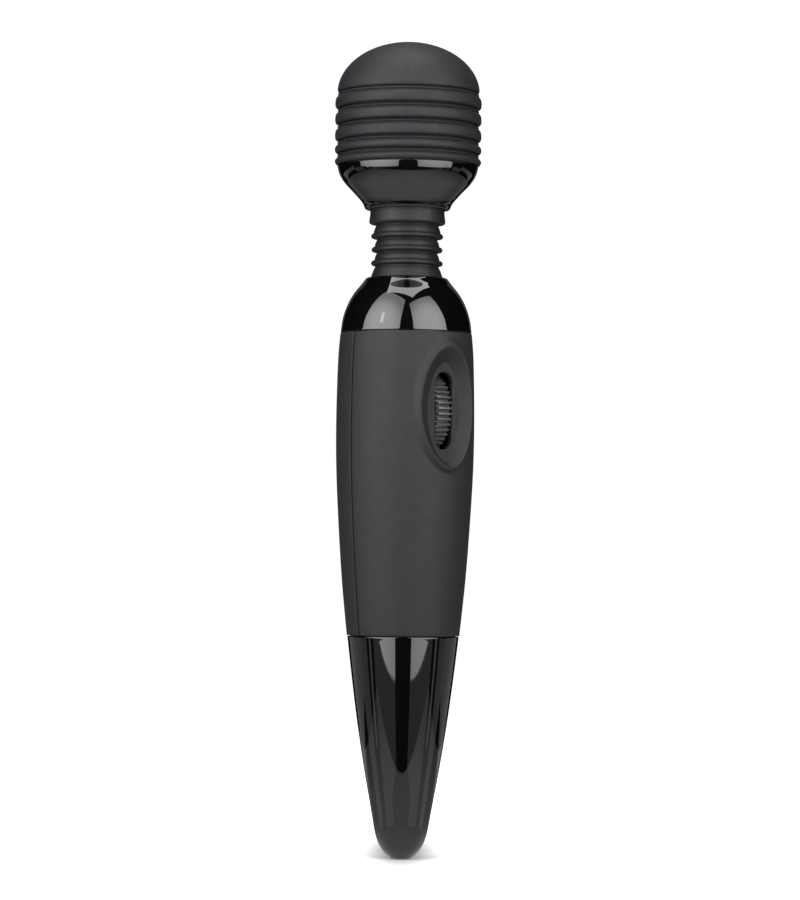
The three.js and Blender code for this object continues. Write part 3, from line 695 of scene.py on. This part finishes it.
def add_neck():
    """The bellows, spring and leads, each in two halves split at one height of the neck."""
    outline, overlap = bellows_outline(), 0.4
    for lower in (True, False):
        half = "lower" if lower else "upper"
        shape = lathe(cut_outline(outline, NECK_SPLIT, lower), 180, parting_line)
        neck_piece(f"neck_bellows_{half}", shape, "neck_rubber", "neck_bellows", lower)
        reach = (0, NECK_SPLIT) if lower else (NECK_SPLIT, LENGTH)
        coil = tube(spring_points(*reach), SPRING["wire"])
        neck_piece(f"neck_spring_{half}", coil, "steel", "neck_spring", lower)
        for colour, side in (("red", -1), ("black", 1)):
            route = [
                (side * 2, 0, 221.1), (side * 2.6, 1, 230), (side * 2.6, -1, 243), (side * 3, 0, 253),
                (side * 5, 0, 262.4),
            ]
            part = [
                p for p in spline(route, 60)
                if (p[2] <= NECK_SPLIT + overlap) == lower or abs(p[2] - NECK_SPLIT) < overlap
            ]
            node = f"neck_lead_{colour}"
            neck_piece(f"{node}_{half}", tube(part, LEAD_R), f"lead_{colour}", node, lower)


# ---- Head ----

def silicone_cap():
    """Rounded ridges under a dome. Each groove is a deep slot over a small bead and a crease."""
    side = [(CAP_LIP, 27.3, 0.4), (CAP_LIP + 0.5, 27.95, 0.6), (CAP_LIP + 1.6, RIDGE_R, 1)]
    for i, z in enumerate(GROOVES):
        side += [(z - 1.6, RIDGE_R - 0.4, 0.9), (z - 0.85, CREASE_R, 0.2)]
        side += [(z - 0.45, BEAD_R, 0.3), (z + 0.1, BEAD_R - 0.5, 0.15), (z + 0.2, GROOVE_R, 0.1)]
        side.append((z + 0.55, GROOVE_R, 0.05))
        if i < len(GROOVES) - 1:
            middle = (z + GROOVES[i + 1]) / 2
            side += [(z + 0.62, RIDGE_R - 0.7, 0.5), (z + 1.3, RIDGE_R - 0.12, 0.8)]
            side.append((middle, RIDGE_R, 1.5))
    side.append((GROOVES[-1] + 0.62, DOME_R - 0.25, 0.5))
    dome = [
        (DOME_BASE + (LENGTH - DOME_BASE) * math.sin(a), DOME_R * math.cos(a))
        for a in np.linspace(0.08, math.pi / 2, 60)
    ]
    dome[-1] = (LENGTH, 0)
    inner = [
        (DOME_BASE + (LENGTH - DOME_BASE - CAP_WALL) * math.sin(a), CAP_BORE * math.cos(a))
        for a in np.linspace(math.pi / 2, 0, 24)
    ]
    inner[0] = (LENGTH - CAP_WALL, 0)
    outline = np.concatenate([rounded([*side, *dome]), rounded([*inner, (CAP_LIP, CAP_BORE, 0.3)])])
    return lathe(outline, 180)


def head_collar():
    """The glossy bell, with a rim inside the cap and two posts for the motor cradle's screws."""
    lip, post_top, post_r, post_y = NECK_TOP_R + GAP, 272, 2.5, 19.3
    outer = [tuple(p) for p in spline(COLLAR_OUTLINE, 80)][4:-2]
    ring = lathe(rounded([
        (COLLAR_LIP, lip, 0.3), (COLLAR_LIP, 16.1, 0.3), *outer,
        (COLLAR_TOP, 27.2, 0.25), (COLLAR_TOP, 22.8, 0.1),
        (post_top, 22.8, 0.3), (post_top, 20.8, 0.3), (259.6, 20.8, 0.2), (257.2, 19.4, 0.2),
        (257.2, 15.9, 0.2), (251.6, 15.9, 0.1), (251.6, lip, 0.1),
    ]))
    posts = []
    for side in (-1, 1):
        outline = [(265.9, 0), (265.9, post_r), (post_top, post_r, 0.2), (post_top, 0)]
        verts, faces = lathe(rounded(outline), 32)
        posts.append((verts + (0, side * post_y, 0), faces))
    return together(ring, *posts)


# ---- Everything else keeps its CAD mesh ----

def finish_cad_nodes():
    """A material on every CAD node, and smooth shading on those that are still shown."""
    slots = {part["node"]: part["material_slot"] for part in frame["record"]["subparts"]}
    for name, obj in frame["nodes"].items():
        obj.data.materials.clear()
        obj.data.materials.append(materials[slots[name]])
        if obj.hide_render:
            continue
        obj.data.shade_smooth()
        obj.data.set_sharp_from_angle(angle=CREASE_ANGLE)


# ---- Stage, light and camera ----

CAMERA_TURN = -39
TABLE_Z = -0.1


def seen_from(turn, lift, distance, target):
    """A point at a distance from a target, turned to the right of the camera's side and lifted, in
    degrees."""
    turn, lift = math.radians(CAMERA_TURN + turn), math.radians(lift)
    level = distance * math.cos(lift)
    return Vector(target) + Vector((
        level * math.sin(turn), -level * math.cos(turn), distance * math.sin(lift),
    ))


def aim(obj, target):
    obj.rotation_euler = (Vector(target) - obj.location).to_track_quat("-Z", "Y").to_euler()


def panel(name, spot, target, width, height, radiance, roll=0, diffuse=True, fade=None,
          flat=False):
    """A soft light at (turn, lift, distance) from a target, facing it, or flat and facing up. A fade
    of (x, y, near, far, least) is full within near of a point on it, falling to least at far."""
    light = bpy.data.lights.new(name, "AREA")
    light.shape = "RECTANGLE"
    light.size, light.size_y = width, height
    light.energy = radiance * math.pi * width * height
    if fade:
        x, y, near, far, least = fade
        light.use_nodes = True
        add, link = light.node_tree.nodes.new, light.node_tree.links.new
        place = add("ShaderNodeVectorMath")
        place.operation = "MULTIPLY_ADD"
        place.inputs[1].default_value = (width, height, 0)
        place.inputs[2].default_value = (-width / 2 - x, -height / 2 - y, 0)
        link(add("ShaderNodeNewGeometry").outputs["Parametric"], place.inputs[0])
        away = add("ShaderNodeVectorMath")
        away.operation = "LENGTH"
        link(place.outputs[0], away.inputs[0])
        level = add("ShaderNodeMapRange")
        level.interpolation_type = "SMOOTHSTEP"
        for i, value in enumerate((near, far, 1, least)):
            level.inputs[i + 1].default_value = value
        link(away.outputs["Value"], level.inputs[0])
        link(level.outputs[0], light.node_tree.nodes["Emission"].inputs["Strength"])
    obj = bpy.data.objects.new(name, light)
    bpy.context.scene.collection.objects.link(obj)
    turn, lift, distance = spot
    obj.location = seen_from(turn, lift, distance, target)
    back = (obj.location - Vector(target)).normalized()
    turn = math.radians(CAMERA_TURN + turn)
    across = Vector((math.cos(turn), math.sin(turn), 0))
    if flat:
        back = Vector((0, 0, -1))
    facing = Matrix((across, back.cross(across), back)).transposed()
    obj.rotation_euler = (facing @ Matrix.Rotation(math.radians(roll), 3, "Z")).to_euler()
    obj.visible_camera = False
    obj.visible_diffuse = diffuse


def add_lights():
    """Two tall softboxes, the left one with a brighter core, an overhead panel and a dim fill from
    behind. The core, the overhead panel, the table and the low panels show only in reflections."""
    panel("softbox_left", (-43.8, 0, 0.7), (0, 0, 0.72), 0.98, 1.6, 5.9, roll=-9,
          fade=(0, -0.24, 0.1, 0.8, 0.42))
    panel("softbox_right", (42.5, 0, 0.7), (0, 0, 0.56), 0.84, 1.3, 5.5, roll=8,
          fade=(0, -0.08, 0.1, 0.8, 0.42))
    panel("softbox_core", (-45, 0, 0.68), (0, 0, 0.51), 0.07, 0.2, 4, diffuse=False)
    panel("overhead", (0, 86, 0.8), (0, 0, 0.217), 0.64, 0.64, 5.0, roll=-26, diffuse=False)
    panel("back_fill", (180, 25, 1.2), (0, 0, 0.17), 1.2, 1.2, 0.12)
    panel("table", (180, 0, 0.52), (0, 0, TABLE_Z), 1.2, 1.7, 0.84, diffuse=False,
          fade=(0, -0.52, 0.1, 0.65, 0.26), flat=True)
    # Name, turn, width, lower and upper edge, and radiance
    low_panels = (
        ("front", 41, 1.1, -0.52, 0.02, 0.28), ("line", 74, 0.1, -0.34, 0.02, 0.6),
        ("flank", 93, 0.45, -0.42, -0.1, 0.33), ("side", 125, 1.05, -0.2, 0.0, 0.36),
    )
    for side, name in ((-1, "left"), (1, "right")):
        for part, turn, width, low, high, radiance in low_panels:
            panel(f"low_{part}_{name}", (side * turn, 0, 1.25), (0, 0, (low + high) / 2), width,
                  high - low, radiance, diffuse=False)


def add_stage():
    """A white floor, with a painted soft shadow that runs back from the tip and painted shade that dims
    its glow near the middle, and a white world behind it.
    """
    n = Nodes("stage_white")
    turn = math.radians(CAMERA_TURN)
    back, half_width, half_length = 0.04, 0.019, 0.12
    # Painted shadow: a stretched patch behind the tip where the floor's colour and glow are darkened
    shadow = n.add("ShaderNodeMapping", {
        "Vector": n.place, "Location": (-back * math.sin(turn), back * math.cos(turn), 0),
        "Rotation": (0, 0, turn), "Scale": (half_width, half_length, 1),
    }, vector_type="TEXTURE").outputs[0]
    reach = n.add("ShaderNodeVectorMath", {0: shadow}, operation="LENGTH").outputs["Value"]
    light = n.spread(reach, 0.15, 1, 0.25, 1)
    # Painted shade: the floor's glow is dimmer near the middle, round the wand
    away = n.add("ShaderNodeVectorMath", {0: n.place}, operation="LENGTH").outputs["Value"]
    glow_with_painted_shade = n.spread(away, 0.62, 1.05, 0.1, 0.5)
    lit = n.add("ShaderNodeMath", {0: glow_with_painted_shade, 1: light}, operation="MULTIPLY").outputs[0]
    inputs = {
        "Base Color": n.mix(light, grey(0.1), grey(0.85)), "Roughness": 1.0, "Specular IOR Level": 0.0,
        "Emission Color": grey(1), "Emission Strength": lit,
    }
    for key, value in inputs.items():
        n.plug(n.shader.inputs[key], value)
    radius, sides, clear = 30.0, 64, 0.0003
    mesh = bpy.data.meshes.new("floor")
    around = [
        (radius * math.cos(a), radius * math.sin(a), 0) for a in np.arange(sides) * 2 * math.pi / sides
    ]
    mesh.from_pydata(around, [], [tuple(range(sides))])
    floor = bpy.data.objects.new("floor", mesh)
    bpy.context.scene.collection.objects.link(floor)
    mesh.materials.append(n.material)
    floor.location.z = cad_low.z - clear
    floor.visible_glossy = False
    floor.visible_diffuse = False
    floor.visible_shadow = False
    world = bpy.data.worlds.new("studio")
    world.use_nodes = True
    world.node_tree.nodes["Background"].inputs[0].default_value = grey(1)
    world.node_tree.nodes["Background"].inputs[1].default_value = 1.05
    seen = world.cycles_visibility
    seen.diffuse = seen.glossy = seen.transmission = seen.scatter = False
    bpy.context.scene.world = world
    bpy.context.scene.view_settings.view_transform = "Standard"


def add_camera():
    """A long lens at the photo's angle, a little below the wand's middle and leaning slightly. Across
    is the width of the view at the wand, and aside and drop move the wand within it."""
    distance, height, across = 1.46, 0.1147, 0.3077
    lean, aside, drop = 0.6, -0.0019, 0.0003
    camera = bpy.data.cameras.new("camera")
    camera.sensor_fit = "HORIZONTAL"
    camera.sensor_width = 36
    camera.lens = camera.sensor_width * distance / across
    camera.clip_end = 100
    obj = bpy.data.objects.new("camera", camera)
    bpy.context.scene.collection.objects.link(obj)
    turn = math.radians(CAMERA_TURN)
    left = Vector((math.cos(turn), math.sin(turn), 0)) * aside
    obj.location = Vector((distance * math.sin(turn), -distance * math.cos(turn), height)) + left
    target = Vector((0, 0, cad_high.z / 2 - drop)) + left
    aim(obj, target)
    bpy.context.view_layer.update()
    obj.matrix_world = obj.matrix_world @ Matrix.Rotation(math.radians(lean), 4, "Z")
    bpy.context.scene.camera = obj


materials = make_materials()
add_camera()
add_lights()
add_stage()
piece("tail_cap_fine", tail_cap(), "handle", "gloss_black", "tail_cap")
piece("front_shell_fine", front_shell(), "handle", "soft_touch", "front_shell")
piece("rear_shell_fine", rear_shell(), "handle", "soft_touch", "rear_shell")
piece("shoulder_ring_fine", shoulder_ring(), "handle", "gloss_black", "shoulder_ring")
piece("speed_wheel_fine", speed_wheel(), "wheel", "wheel_plastic", "speed_wheel")
add_neck()
piece("silicone_cap_fine", silicone_cap(), "head", "silicone", "silicone_cap")
piece("head_collar_fine", head_collar(), "head", "gloss_black", "head_collar")
finish_cad_nodes()
